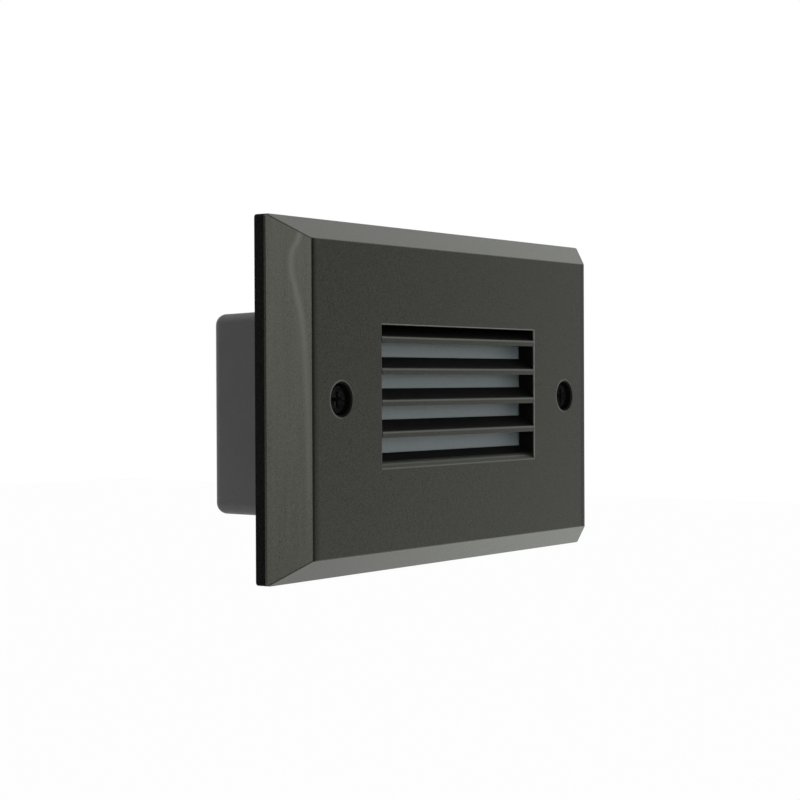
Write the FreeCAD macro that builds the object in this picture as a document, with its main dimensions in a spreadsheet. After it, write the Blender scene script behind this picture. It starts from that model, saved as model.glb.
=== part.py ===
import FreeCAD, Part
import math
import os

import Sketcher

# A louvred step light for a single-gang wall box mounted on its side.
# Frame: the origin is the centre of the wall face, at the back of the foam gasket.
# X runs to the right as seen from the front, Y into the wall, Z up. Sizes are millimetres.

DRIVING = (
    # faceplate: its ends stand beyond the screws, its long edges beyond the housing's flange
    ("screw_margin", 15.48),
    ("rim_seat", 4.725),
    ("plate_depth", 6.3),
    ("rim_side", 0.5),
    ("bevel_side", 6.43),
    ("bevel_top", 4.47),
    ("rim_corner", 0.7),
    ("trim_margin", 1.0),
    ("plate_wall", 2.3),
    ("rim_wall", 1.95),
    ("face_edge_round", 0.35),
    # louvre
    ("louvre_top", 14.6),
    ("louvre_bottom", -13.8),
    ("louvre_depth", 3.8),
    ("louvre_edge_round", 0.3),
    ("blade_count", 4),
    ("blade_pitch", 6.3),
    ("blade_gap", 2.35),
    ("blade_nose", 1.15),
    ("blade_tail", 0.85),
    ("blade_slope", 32.0),
    ("blade_round", 0.4),
    ("sill_chamfer", 1.2),
    ("sill_round", 0.5),
    # foam gasket behind the plate
    ("gasket_thick", 2.3),
    ("gasket_gap", 0.6),
    ("gasket_play", 0.55),
    # face screws, number 6 machine screws at the spacing of a wall box's ears
    ("screw_spacing", 83.34),
    ("screw_thread", 3.5),
    ("screw_undercut", 0.25),
    ("screw_length", 15.9),
    ("screw_head", 5.7),
    ("screw_head_thick", 2.3),
    ("screw_head_dome", 0.5),
    ("screw_head_gap", 0.325),
    ("screw_well_depth", 4.2),
    ("screw_well_chamfer", 0.3),
    ("screw_play", 0.2),
    ("screw_boss_wall", 1.025),
    ("cross_span", 3.3),
    ("cross_thick", 0.8),
    ("cross_depth", 1.5),
    ("seal_thick", 0.8),
    ("seal_play", 0.05),
    ("seal_margin", 0.1),
    # lens and its seal
    ("lens_overlap", 2.5),
    ("lens_top_overlap", 1.3),
    ("lens_thick", 2.0),
    ("lens_seal_thick", 0.5),
    ("lens_seal_side", 2.0),
    ("lens_seal_edge", 1.0),
    # housing
    ("boss_gap", 0.27),
    ("flange_lip", 0.9),
    ("box_wall", 2.0),
    ("lens_gap", 3.3),
    ("lens_top_gap", 0.4),
    ("lens_bottom_gap", 5.6),
    ("side_draft", 0.8),
    ("top_draft", 0.85),
    ("bottom_draft", 0.05),
    ("box_corner", 2.3),
    ("flange_thick", 2.0),
    ("flange_corner", 3.0),
    ("flange_screw_side", 25.0),
    ("flange_top_gap", 3.1),
    ("flange_top_edge", 3.0),
    ("flange_foot_gap", 2.9),
    ("flange_foot_edge", 2.8),
    ("boss_width", 5.6),
    ("housing_seal_width", 2.6),
    # housing screws
    ("small_thread", 2.6),
    ("small_head", 4.6),
    ("small_head_thick", 1.6),
    ("small_length", 4.9),
    ("thread_gap", 0.05),
    ("hole_gap", 0.15),
    # light source
    ("chamber_wall", 1.2),
    ("chamber_length", 10.0),
    ("chamber_margin", 0.5),
    ("chamber_step", 1.3),
    ("board_thick", 1.6),
    ("board_margin", 0.4),
    ("board_foot_margin", 1.5),
    ("board_screw_margin", 0.9),
    ("board_screw_height", -0.5),
    ("board_screw_length", 2.9),
    ("chip_columns", 5),
    ("chip_rows", 2),
    ("chip_step", 8.0),
    ("chip_row_step", 9.0),
    ("chip_width", 3.5),
    ("chip_height", 2.8),
    ("chip_thick", 0.8),
    ("spreader_thick", 1.5),
    ("spreader_gap", 0.6),
    ("spreader_screw_margin", 2.7),
    ("spreader_screw_length", 7.5),
    ("post_width", 5.4),
    ("film_thick", 0.4),
    # driver
    ("driver_room", 12.3),
    ("driver_margin", 1.5),
    ("driver_edge_gap", 3.2),
    ("driver_post", 3.0),
    ("driver_screw_margin", 2.6),
    ("driver_screw_height", -3.2),
    ("driver_screw_length", 5.0),
    # parts on the driver board; each inset is measured from the board's nearer side or edge
    ("can_width", 8.0),
    ("can_length", 9.0),
    ("can_bevel", 0.6),
    ("can_inset", 11.0),
    ("can_rise", 7.0),
    ("core_width", 12.0),
    ("core_length", 9.0),
    ("core_thick", 6.0),
    ("core_side", 0.0),
    ("core_height", -3.2),
    ("yoke_thick", 1.6),
    ("leg_width", 3.4),
    ("outer_leg", 1.5),
    ("coil_play", 0.1),
    ("coil_corner", 1.0),
    ("block_chamfer", 0.4),
    ("film_cap_width", 10.0),
    ("film_cap_height", 4.5),
    ("film_cap_thick", 8.0),
    ("film_cap_inset", 12.0),
    ("film_cap_drop", 4.8),
    ("bridge_width", 4.7),
    ("bridge_height", 3.9),
    ("bridge_thick", 2.5),
    ("bridge_inset", 12.0),
    ("bridge_rise", 6.5),
    ("ic_width", 4.9),
    ("ic_height", 3.9),
    ("ic_thick", 1.6),
    ("ic_inset", 14.0),
    ("ic_drop", 4.3),
    ("pin_count", 4),
    ("pin_step", 1.27),
    ("pin_width", 0.4),
    ("pin_thick", 0.5),
    ("pin_length", 1.0),
    ("wire_width", 0.7),
    ("fuse_length", 8.0),
    ("fuse_width", 3.0),
    ("fuse_foot_inset", 0.7),
    ("fuse_gap", 0.3),
    ("fuse_side", 0.0),
    ("fuse_drop", 4.3),
    ("disc_width", 7.0),
    ("disc_thick", 3.2),
    ("disc_gap", 0.6),
    ("disc_leg_spacing", 4.0),
    ("disc_inset", 4.0),
    ("disc_drop", 6.8),
    # inner leads
    ("lead_width", 1.3),
    ("lead_spacing", 5.0),
    ("lead_rise", 2.2),
    ("lead_play", 0.2),
    ("lead_slot", 10.0),
    ("lead_slot_height", 4.0),
    ("lead_stub", 0.6),
    # lead entry
    ("entry_height", -3.2),
    ("entry_bore", 6.0),
    ("entry_groove", 9.6),
    ("entry_flange", 12.6),
    ("entry_inner_thick", 1.2),
    ("entry_outer_thick", 1.8),
)

# Levels and outlines that follow from the driving sizes. A level is a Y position.
DERIVED = (
    ("screw_side", "screw_spacing / 2"),
    ("screw_neck", "screw_thread - 2 * screw_undercut"),
    ("screw_well", "screw_head + 2 * screw_head_gap"),
    ("screw_boss", "screw_well + 2 * screw_boss_wall"),
    ("screw_hole", "screw_thread + 2 * screw_play"),
    ("gasket_hole", "screw_thread + 2 * gasket_play"),
    ("flange_half_width", "screw_side - screw_boss / 2 - boss_gap"),
    ("box_half_width", "flange_half_width - flange_lip"),
    ("inner_half", "box_half_width - box_wall"),
    ("lens_half_width", "inner_half - lens_gap"),
    ("louvre_half_width", "lens_half_width - lens_overlap"),
    ("lens_top", "louvre_top + lens_top_overlap"),
    ("lens_bottom", "louvre_bottom - lens_overlap"),
    ("inner_top", "lens_top + lens_top_gap"),
    ("inner_bottom", "lens_bottom - lens_bottom_gap"),
    ("box_top", "inner_top + box_wall"),
    ("box_bottom", "inner_bottom - box_wall"),
    ("flange_screw_top", "box_top + flange_top_gap"),
    ("flange_screw_bottom", "box_bottom - flange_foot_gap"),
    ("flange_top", "flange_screw_top + flange_top_edge"),
    ("flange_bottom", "flange_screw_bottom - flange_foot_edge"),
    ("plate_half_width", "screw_side + screw_margin"),
    ("plate_half_height", "rim_seat + gasket_gap - flange_bottom"),
    ("rim_back", "-gasket_thick"),
    ("rim_front", "rim_back - rim_side"),
    ("face_level", "rim_back - plate_depth"),
    ("face_half_width", "plate_half_width - bevel_side"),
    ("face_half_height", "plate_half_height - bevel_top"),
    ("trim_half_width", "plate_half_width + trim_margin"),
    ("trim_half_height", "plate_half_height + trim_margin"),
    ("pan_floor", "face_level + plate_wall"),
    ("pan_half_width", "plate_half_width - rim_wall"),
    ("pan_half_height", "plate_half_height - rim_wall"),
    ("root_depth", "plate_wall / 2"),
    ("louvre_width", "2 * louvre_half_width"),
    ("frame_back", "face_level + louvre_depth"),
    ("frame_pad", "louvre_depth - root_depth"),
    ("blade_top", "louvre_top - blade_gap"),
    ("blade_nose_low", "blade_top - blade_nose"),
    ("blade_rise", "louvre_depth * tan(blade_slope)"),
    ("blade_tail_top", "blade_top + blade_rise"),
    ("blade_tail_low", "blade_tail_top - blade_tail"),
    ("blade_run", "blade_pitch * (blade_count - 1)"),
    ("sill_level", "louvre_bottom + sill_chamfer"),
    ("sill_back", "face_level + sill_chamfer"),
    ("sill_tail", "sill_level + (louvre_depth - sill_chamfer) * tan(blade_slope)"),
    ("sill_foot", "louvre_bottom - blade_nose"),
    ("well_floor", "face_level + screw_well_depth"),
    ("boss_pad", "plate_depth - root_depth"),
    ("head_seat", "well_floor - seal_thick"),
    ("head_top", "head_seat - screw_head_thick"),
    ("head_radius", "screw_head / 2"),
    ("neck_radius", "screw_neck / 2"),
    ("thread_radius", "screw_thread / 2"),
    ("screw_tip", "head_seat + screw_length"),
    ("seal_bore", "screw_neck + 2 * seal_play"),
    ("seal_disc", "screw_head - 2 * seal_margin"),
    ("lens_front", "frame_back + lens_seal_thick"),
    ("lens_back", "lens_front + lens_thick"),
    ("seal_inner_half", "lens_half_width - lens_seal_side"),
    ("seal_inner_top", "lens_top - lens_seal_edge"),
    ("seal_inner_bottom", "lens_bottom + lens_seal_side"),
    ("flange_back", "rim_back"),
    ("flange_front", "flange_back - flange_thick"),
    ("small_boss_pad", "flange_front - pan_floor + root_depth"),
    ("housing_seal_thick", "flange_front - pan_floor"),
    ("small_thread_hole", "small_thread + 2 * thread_gap"),
    ("small_clear_hole", "small_thread + 2 * hole_gap"),
    ("pilot_depth", "small_length - flange_thick + hole_gap * 2"),
    ("box_width", "2 * box_half_width"),
    ("box_cut_height", "-2 * box_bottom"),
    ("box_rear_half", "box_half_width - side_draft"),
    ("box_rear_top", "box_top - top_draft"),
    ("box_rear_bottom", "box_bottom + bottom_draft"),
    ("inner_rear_half", "box_rear_half - box_wall"),
    ("inner_rear_top", "box_rear_top - box_wall"),
    ("inner_rear_bottom", "box_rear_bottom + box_wall"),
    ("seal_outer_half", "inner_half + housing_seal_width / 2"),
    ("seal_outer_top", "flange_screw_top - boss_width / 2 - hole_gap"),
    ("seal_outer_bottom", "inner_bottom - housing_seal_width / 2"),
    ("seal_ring_half", "seal_outer_half - housing_seal_width"),
    ("seal_ring_top", "(seal_outer_top + lens_top) / 2"),
    ("seal_ring_bottom", "seal_outer_bottom + housing_seal_width"),
    ("gasket_half_width", "flange_half_width + gasket_gap"),
    ("gasket_top", "flange_top + gasket_gap"),
    ("gasket_bottom", "flange_bottom - gasket_gap"),
    ("chamber_back", "lens_back + chamber_length"),
    ("board_back", "chamber_back + board_thick"),
    ("spreader_back", "board_back + spreader_thick"),
    ("film_back", "spreader_back + film_thick"),
    ("driver_front", "film_back + driver_room"),
    ("driver_back", "driver_front + board_thick"),
    ("box_floor", "driver_back + driver_post"),
    ("box_reach", "box_floor + box_wall"),
    ("spreader_half", "inner_rear_half - spreader_gap"),
    ("spreader_top", "inner_rear_top - spreader_gap"),
    ("spreader_bottom", "inner_rear_bottom + spreader_gap"),
    ("spreader_screw_side", "spreader_half - spreader_screw_margin"),
    ("spreader_screw_top", "spreader_top - spreader_screw_margin"),
    ("spreader_screw_bottom", "spreader_bottom + spreader_screw_margin"),
    ("board_half", "spreader_screw_side - small_head / 2 - board_margin"),
    ("board_top", "spreader_top - board_margin"),
    ("board_bottom", "spreader_bottom + board_foot_margin"),
    ("chamber_half", "board_half - chamber_margin"),
    ("chamber_top", "board_top - chamber_margin"),
    ("chamber_bottom", "lens_bottom + chamber_step"),
    ("board_screw_side", "chamber_half - chamber_wall - small_head / 2 - board_screw_margin"),
    ("post_length", "box_floor - spreader_back"),
    ("driver_half", "spreader_screw_side - post_width / 2 - driver_margin"),
    ("driver_top", "inner_rear_top - driver_edge_gap"),
    ("driver_bottom", "inner_rear_bottom + driver_edge_gap"),
    ("driver_screw_side", "driver_half - driver_screw_margin"),
    ("lead_hole", "lead_width + 2 * lead_play"),
    ("lead_height", "board_bottom + lead_rise"),
    ("lead_length", "driver_front - chamber_back + lead_stub"),
    ("can_side", "driver_half - can_inset"),
    ("can_height", "driver_bottom + can_rise"),
    ("film_cap_side", "film_cap_inset - driver_half"),
    ("film_cap_place", "driver_top - film_cap_drop"),
    ("bridge_side", "bridge_inset - driver_half"),
    ("bridge_place", "driver_bottom + bridge_rise"),
    ("ic_side", "driver_half - ic_inset"),
    ("ic_place", "driver_top - ic_drop"),
    ("fuse_height", "driver_top - fuse_drop"),
    ("disc_side", "disc_inset - driver_half"),
    ("disc_height", "driver_top - disc_drop"),
    ("slot_half", "lead_slot / 2"),
    ("slot_top", "lead_height + lead_slot_height / 2"),
    ("slot_bottom", "lead_height - lead_slot_height / 2"),
    ("film_half", "spreader_screw_side - post_width / 2 - hole_gap"),
    ("post_root", "post_length + box_wall / 2"),
    ("driver_post_root", "driver_post + box_wall / 2"),
    ("spreader_pilot", "spreader_screw_length - spreader_thick + 2 * hole_gap"),
    ("driver_pilot", "driver_screw_length - board_thick + 2 * hole_gap"),
    ("entry_bore_radius", "entry_bore / 2"),
    ("entry_groove_radius", "entry_groove / 2 - thread_gap"),
    ("entry_flange_radius", "entry_flange / 2"),
    ("grommet_front", "box_floor - entry_inner_thick"),
    ("grommet_back", "box_reach + entry_outer_thick"),
    ("chamber_flange_back", "lens_back + chamber_wall"),
    ("chamber_inner_half", "chamber_half - chamber_wall"),
    ("chamber_inner_top", "chamber_top - chamber_wall"),
    ("chamber_inner_bottom", "chamber_bottom + chamber_wall"),
    ("chip_half_width", "chip_width / 2"),
    ("chip_half_height", "chip_height / 2"),
    ("head_dome_radius", "head_radius - screw_head_dome"),
    ("head_shoulder", "head_top + screw_head_dome"),
    ("cross_half", "cross_span / 2"),
    ("cross_arm", "cross_thick / 2"),
    ("lead_side", "lead_spacing / 2"),
    ("can_radius", "can_width / 2"),
    ("can_top_radius", "can_radius - can_bevel"),
    ("can_shoulder", "can_length - can_bevel"),
    ("core_half", "core_width / 2"),
    ("leg_half", "leg_width / 2"),
    ("window_half", "core_half - outer_leg"),
    ("yoke_far", "core_length - yoke_thick"),
    ("coil_half", "window_half - coil_play"),
    ("coil_hole_half", "leg_half + coil_play"),
    ("coil_hole_height", "core_thick / 2 + coil_play"),
    ("coil_half_height", "coil_hole_height + coil_half - coil_hole_half"),
    ("coil_start", "yoke_thick + coil_play"),
    ("coil_length", "core_length - 2 * yoke_thick - 2 * coil_play"),
    ("film_cap_half", "film_cap_width / 2"),
    ("film_cap_half_height", "film_cap_height / 2"),
    ("bridge_half", "bridge_width / 2"),
    ("bridge_half_height", "bridge_height / 2"),
    ("ic_half", "ic_width / 2"),
    ("ic_half_height", "ic_height / 2"),
    ("pin_left", "-pin_step * (pin_count - 1) / 2 - pin_width / 2"),
    ("pin_right", "pin_left + pin_width"),
    ("pin_root", "ic_half_height - pin_width"),
    ("pin_reach", "ic_half_height + pin_length"),
    ("pin_run", "pin_step * (pin_count - 1)"),
    ("fuse_half", "fuse_length / 2"),
    ("fuse_radius", "fuse_width / 2"),
    ("fuse_foot_side", "fuse_half - fuse_foot_inset"),
    ("fuse_rise", "fuse_radius + fuse_gap"),
    ("disc_rise", "disc_width / 2 + disc_gap"),
    ("disc_foot_side", "disc_leg_spacing / 2"),
)

doc = FreeCAD.newDocument("step_light")
sheet = doc.addObject("Spreadsheet::Sheet", "Sizes")


def fill_sheet():
    """One row for each size: its name, its value, and its name again as the alias."""
    rows = [(name, str(value)) for name, value in DRIVING]
    rows += [(name, "=" + formula) for name, formula in DERIVED]
    for row, (name, text) in enumerate(rows, start=1):
        sheet.set(f"A{row}", name)
        sheet.set(f"B{row}", text)
        sheet.setAlias(f"B{row}", name)
    doc.recompute()


def number(name):
    """The value of a cell, or its opposite where the name starts with a minus."""
    return -sheet.get(name[1:]) if name.startswith("-") else float(sheet.get(name))


def cell(name):
    """The same cell as an expression."""
    return "-Sizes." + name[1:] if name.startswith("-") else "Sizes." + name


def opposite(name):
    return name[1:] if name.startswith("-") else "-" + name


# ---------------------------------------------------------------- sketches

def new_body(label):
    body = doc.addObject("PartDesign::Body", label)
    body.Label = label
    return body


def origin_feature(body, role):
    return next(item for item in body.Origin.OriginFeatures if item.Role == role)


def new_sketch(body, name, role="XZ_Plane", level=None):
    """A sketch on an origin plane. On XZ the level is a Y position, since its normal is -Y."""
    sketch = body.newObject("Sketcher::SketchObject", f"{body.Label}_{name}")
    sketch.AttachmentSupport = (origin_feature(body, role), [""])
    sketch.MapMode = "FlatFace"
    if level:
        offset = opposite(level) if role == "XZ_Plane" else level
        sketch.setExpression("AttachmentOffset.Base.z", cell(offset))
    return sketch


def driven(sketch, kind, geometry, name):
    """A constraint on the given geometry whose value is the named cell's."""
    index = sketch.addConstraint(Sketcher.Constraint(kind, *geometry, number(name)))
    label = f"size{index}"
    sketch.renameConstraint(index, label)
    sketch.setExpression(f"Constraints.{label}", cell(name))


def place_point(sketch, geometry, point, across, up):
    """Holds a point at two signed distances from the origin; None is the axis itself."""
    for kind, axis, name in (("DistanceX", -2, across), ("DistanceY", -1, up)):
        if name is None:
            sketch.addConstraint(Sketcher.Constraint("PointOnObject", geometry, point, axis))
        else:
            driven(sketch, kind, (-1, 1, geometry, point), name)


def draw_rounded(sketch, left, right, low, high, radius):
    """A rectangle with four equal round corners."""
    x0, x1, z0, z1, r = (number(name) for name in (left, right, low, high, radius))
    sides = (((x0 + r, z0), (x1 - r, z0)), ((x1, z0 + r), (x1, z1 - r)),
             ((x1 - r, z1), (x0 + r, z1)), ((x0, z1 - r), (x0, z0 + r)))
    centres = ((x1 - r, z0 + r), (x1 - r, z1 - r), (x0 + r, z1 - r), (x0 + r, z0 + r))
    lines = []
    arcs = []
    for turn, ((start, end), centre) in enumerate(zip(sides, centres)):
        line = Part.LineSegment(FreeCAD.Vector(*start), FreeCAD.Vector(*end))
        lines.append(sketch.addGeometry(line))
        circle = Part.Circle(FreeCAD.Vector(*centre), FreeCAD.Vector(0, 0, 1), r)
        first_angle = (turn - 1) * math.pi / 2
        arcs.append(sketch.addGeometry(Part.ArcOfCircle(circle, first_angle, first_angle + math.pi / 2)))
    for index in range(4):
        following = lines[(index + 1) % 4]
        sketch.addConstraint(Sketcher.Constraint("Tangent", lines[index], 2, arcs[index], 1))
        sketch.addConstraint(Sketcher.Constraint("Tangent", arcs[index], 2, following, 1))
        direction = "Vertical" if index % 2 else "Horizontal"
        sketch.addConstraint(Sketcher.Constraint(direction, lines[index]))
    for arc in arcs[1:]:
        sketch.addConstraint(Sketcher.Constraint("Equal", arcs[0], arc))
    driven(sketch, "Radius", (arcs[0],), radius)
    driven(sketch, "DistanceY", (-1, 1, lines[0], 1), low)
    driven(sketch, "DistanceX", (-1, 1, lines[1], 1), right)
    driven(sketch, "DistanceY", (-1, 1, lines[2], 1), high)
    driven(sketch, "DistanceX", (-1, 1, lines[3], 1), left)


def draw_polygon(sketch, corners):
    """Straight lines through corners that are pairs of cell names."""
    points = [FreeCAD.Vector(*(number(name) if name else 0.0 for name in pair)) for pair in corners]
    count = len(points)
    lines = [sketch.addGeometry(Part.LineSegment(points[i], points[(i + 1) % count])) for i in range(count)]
    for index in range(count):
        following = lines[(index + 1) % count]
        sketch.addConstraint(Sketcher.Constraint("Coincident", lines[index], 2, following, 1))
        place_point(sketch, lines[index], 1, *corners[index])


def draw_box(sketch, left, right, low, high):
    """A rectangle with sharp corners."""
    draw_polygon(sketch, ((left, low), (right, low), (right, high), (left, high)))


def closed_lines(sketch, corners):
    """Joined straight lines through corners that are plain numbers."""
    points = [FreeCAD.Vector(*corner, 0) for corner in corners]
    count = len(points)
    lines = [sketch.addGeometry(Part.LineSegment(points[i], points[(i + 1) % count])) for i in range(count)]
    for index in range(count):
        following = lines[(index + 1) % count]
        sketch.addConstraint(Sketcher.Constraint("Coincident", lines[index], 2, following, 1))
    return lines


def draw_square(sketch, across, up, width):
    """An upright square round a point."""
    x = number(across) if across else 0.0
    z = number(up) if up else 0.0
    half = number(width) / 2
    lines = closed_lines(sketch, ((x - half, z - half), (x + half, z - half), (x + half, z + half),
                                  (x - half, z + half)))
    for index, line in enumerate(lines):
        direction = "Vertical" if index % 2 else "Horizontal"
        sketch.addConstraint(Sketcher.Constraint(direction, line))
    sketch.addConstraint(Sketcher.Constraint("Equal", lines[0], lines[1]))
    driven(sketch, "Distance", (lines[0],), width)
    centre = sketch.addGeometry(Part.Point(FreeCAD.Vector(x, z, 0)), True)
    place_point(sketch, centre, 1, across, up)
    sketch.addConstraint(Sketcher.Constraint("Symmetric", lines[0], 1, lines[1], 2, centre, 1))


def draw_hexagon(sketch, width):
    """A hexagon round the origin, as wide over its corners as the cell says."""
    radius = number(width) / 2
    angles = [math.pi / 3 * turn for turn in range(6)]
    corners = [(radius * math.cos(angle), radius * math.sin(angle)) for angle in angles]
    lines = closed_lines(sketch, corners)
    circle = sketch.addGeometry(Part.Circle(FreeCAD.Vector(), FreeCAD.Vector(0, 0, 1), radius), True)
    sketch.addConstraint(Sketcher.Constraint("Coincident", circle, 3, -1, 1))
    driven(sketch, "Diameter", (circle,), width)
    for line in lines:
        sketch.addConstraint(Sketcher.Constraint("PointOnObject", line, 1, circle))
    for line in lines[1:]:
        sketch.addConstraint(Sketcher.Constraint("Equal", lines[0], line))
    sketch.addConstraint(Sketcher.Constraint("PointOnObject", lines[0], 1, -1))


def draw_circle(sketch, across, up, diameter):
    centre = FreeCAD.Vector(number(across) if across else 0.0, number(up) if up else 0.0, 0)
    circle = sketch.addGeometry(Part.Circle(centre, FreeCAD.Vector(0, 0, 1), number(diameter) / 2))
    place_point(sketch, circle, 3, across, up)
    driven(sketch, "Diameter", (circle,), diameter)


# ---------------------------------------------------------------- features

def add_pad(body, sketch, name, length, backward=False, midplane=False):
    """Extrudes towards the front, or towards the back of the light where backward is set."""
    pad = body.newObject("PartDesign::Pad", f"{body.Label}_{name}")
    pad.Profile = sketch
    pad.setExpression("Length", cell(length))
    pad.Reversed = backward
    pad.Midplane = midplane
    sketch.Visibility = False
    return pad


def add_pocket(body, sketch, name, length, forward=True):
    """Cuts towards the front where forward is set, and otherwise towards the back."""
    doc.recompute()
    before = body.Shape.Volume
    pocket = body.newObject("PartDesign::Pocket", f"{body.Label}_{name}")
    pocket.Profile = sketch
    pocket.setExpression("Length", cell(length))
    pocket.Reversed = forward
    sketch.Visibility = False
    doc.recompute()
    if not body.Shape.Volume < before - 1e-6:
        raise RuntimeError(f"{pocket.Name} cuts nothing")
    return pocket


def add_loft(body, name, first, second, cut=False):
    kind = "PartDesign::SubtractiveLoft" if cut else "PartDesign::AdditiveLoft"
    loft = body.newObject(kind, f"{body.Label}_{name}")
    loft.Profile = first
    loft.Sections = [second]
    loft.Ruled = True
    return loft


def pick_edges(shape, test):
    """Names of the edges whose middle point and edge pass the test."""
    names = []
    for index, edge in enumerate(shape.Edges, start=1):
        middle = edge.valueAt((edge.FirstParameter + edge.LastParameter) / 2)
        if test(edge, middle):
            names.append(f"Edge{index}")
    return names


def add_edge_feature(body, kind, name, size_property, size, test):
    """A fillet or chamfer over the edges of the body's present shape that pass the test."""
    doc.recompute()
    base = body.Tip
    feature = body.newObject(kind, f"{body.Label}_{name}")
    feature.Base = (base, pick_edges(base.Shape, test))
    feature.setExpression(size_property, cell(size))
    doc.recompute()
    return feature


def add_fillet(body, name, radius, test):
    return add_edge_feature(body, "PartDesign::Fillet", name, "Radius", radius, test)


def near(a, b, slack=0.01):
    return abs(a - b) < slack


# ---------------------------------------------------------------- faceplate

def faceplate():
    """The casting: bevelled pan, louvre, wells for the face screws, bosses for the housing."""
    body = new_body("faceplate")
    outline = ("-plate_half_width", "plate_half_width", "-plate_half_height", "plate_half_height")
    face = ("-face_half_width", "face_half_width", "-face_half_height", "face_half_height")
    rim = new_sketch(body, "rim", level="rim_back")
    draw_box(rim, *outline)
    add_pad(body, rim, "rim_pad", "rim_side")
    bevel_start = new_sketch(body, "bevel_start", level="rim_front")
    draw_box(bevel_start, *outline)
    bevel_end = new_sketch(body, "bevel_end", level="face_level")
    draw_box(bevel_end, *face)
    add_loft(body, "bevels", bevel_start, bevel_end)
    trim = new_sketch(body, "trim", level="rim_back")
    draw_box(trim, "-trim_half_width", "trim_half_width", "-trim_half_height", "trim_half_height")
    draw_rounded(trim, *outline, "rim_corner")
    add_pocket(body, trim, "rim_corners", "plate_depth")
    hollow_plate(body, face)
    louvre_frame(body)
    screw_bosses(body)
    louvre(body)
    screw_wells(body)
    return body


def hollow_plate(body, face):
    """The pan behind the face. Its sides follow the bevels."""
    pan_mouth = new_sketch(body, "pan_mouth", level="rim_back")
    draw_box(pan_mouth, "-pan_half_width", "pan_half_width", "-pan_half_height", "pan_half_height")
    pan_end = new_sketch(body, "pan_end", level="pan_floor")
    draw_box(pan_end, *face)
    add_loft(body, "pan", pan_mouth, pan_end, cut=True)


def louvre_frame(body):
    """The raised frame behind the face that the lens seals against."""
    frame = new_sketch(body, "frame", level="frame_back")
    draw_box(frame, "-lens_half_width", "lens_half_width", "lens_bottom", "lens_top")
    add_pad(body, frame, "frame_pad", "frame_pad")


def screw_bosses(body):
    """Two bosses round the wells of the face screws, and four for the housing's screws."""
    bosses = new_sketch(body, "bosses", level="rim_back")
    for side in ("-screw_side", "screw_side"):
        draw_circle(bosses, side, None, "screw_boss")
    add_pad(body, bosses, "bosses_pad", "boss_pad")
    small = new_sketch(body, "small_bosses", level="flange_front")
    for side, height in housing_screw_places():
        draw_square(small, side, height, "boss_width")
    add_pad(body, small, "small_bosses_pad", "small_boss_pad")


def housing_screw_places():
    sides = ("-flange_screw_side", "flange_screw_side")
    return [(side, height) for height in ("flange_screw_bottom", "flange_screw_top") for side in sides]


def louvre(body):
    """The opening, its blades and its sloped sill, with the rounded noses of a casting."""
    opening = new_sketch(body, "opening", level="frame_back")
    draw_box(opening, "-louvre_half_width", "louvre_half_width", "louvre_bottom", "louvre_top")
    add_pocket(body, opening, "opening_cut", "louvre_depth")
    soften_opening(body)
    sill = new_sketch(body, "sill", role="YZ_Plane")
    draw_polygon(sill, (("face_level", "louvre_bottom"), ("sill_back", "sill_level"),
                        ("frame_back", "sill_tail"), ("frame_back", "sill_foot"),
                        ("face_level", "sill_foot")))
    add_pad(body, sill, "sill_pad", "louvre_width", midplane=True)
    blade = new_sketch(body, "blade", role="YZ_Plane")
    draw_polygon(blade, (("face_level", "blade_nose_low"), ("face_level", "blade_top"),
                         ("frame_back", "blade_tail_top"), ("frame_back", "blade_tail_low")))
    blade_pad = add_pad(body, blade, "blade_pad", "louvre_width", midplane=True)
    doc.recompute()
    pattern = body.newObject("PartDesign::LinearPattern", "faceplate_blades")
    pattern.Originals = [blade_pad]
    pattern.Direction = (origin_feature(body, "Z_Axis"), [""])
    pattern.Reversed = True
    pattern.setExpression("Length", cell("blade_run"))
    pattern.setExpression("Occurrences", cell("blade_count"))
    body.Tip = pattern
    round_noses(body)


def soften_opening(body):
    """The cast edge round the top and sides of the opening, on the face."""
    face_level = number("face_level")
    half = number("louvre_half_width")
    low, high = number("louvre_bottom"), number("louvre_top")

    def on_opening(edge, middle):
        beside = near(abs(middle.x), half) and low < middle.z < high
        return near(middle.y, face_level) and (beside or near(middle.z, high))

    add_fillet(body, "opening_edge", "louvre_edge_round", on_opening)


def round_noses(body):
    """The upper edge of each blade's nose and the two edges of the sill's lip."""
    face_level = number("face_level")
    tops = [number("blade_top") - number("blade_pitch") * index for index in range(int(number("blade_count")))]
    long_enough = number("louvre_half_width")

    def on_nose(edge, middle):
        if edge.Length < long_enough or abs(middle.x) > 1:
            return False
        return near(middle.y, face_level) and any(near(middle.z, top) for top in tops)

    add_fillet(body, "noses", "blade_round", on_nose)

    def on_lip(edge, middle):
        return edge.Length > long_enough and near(middle.y, number("sill_back")) and near(
            middle.z, number("sill_level"))

    add_fillet(body, "sill_lip", "sill_round", on_lip)


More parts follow.
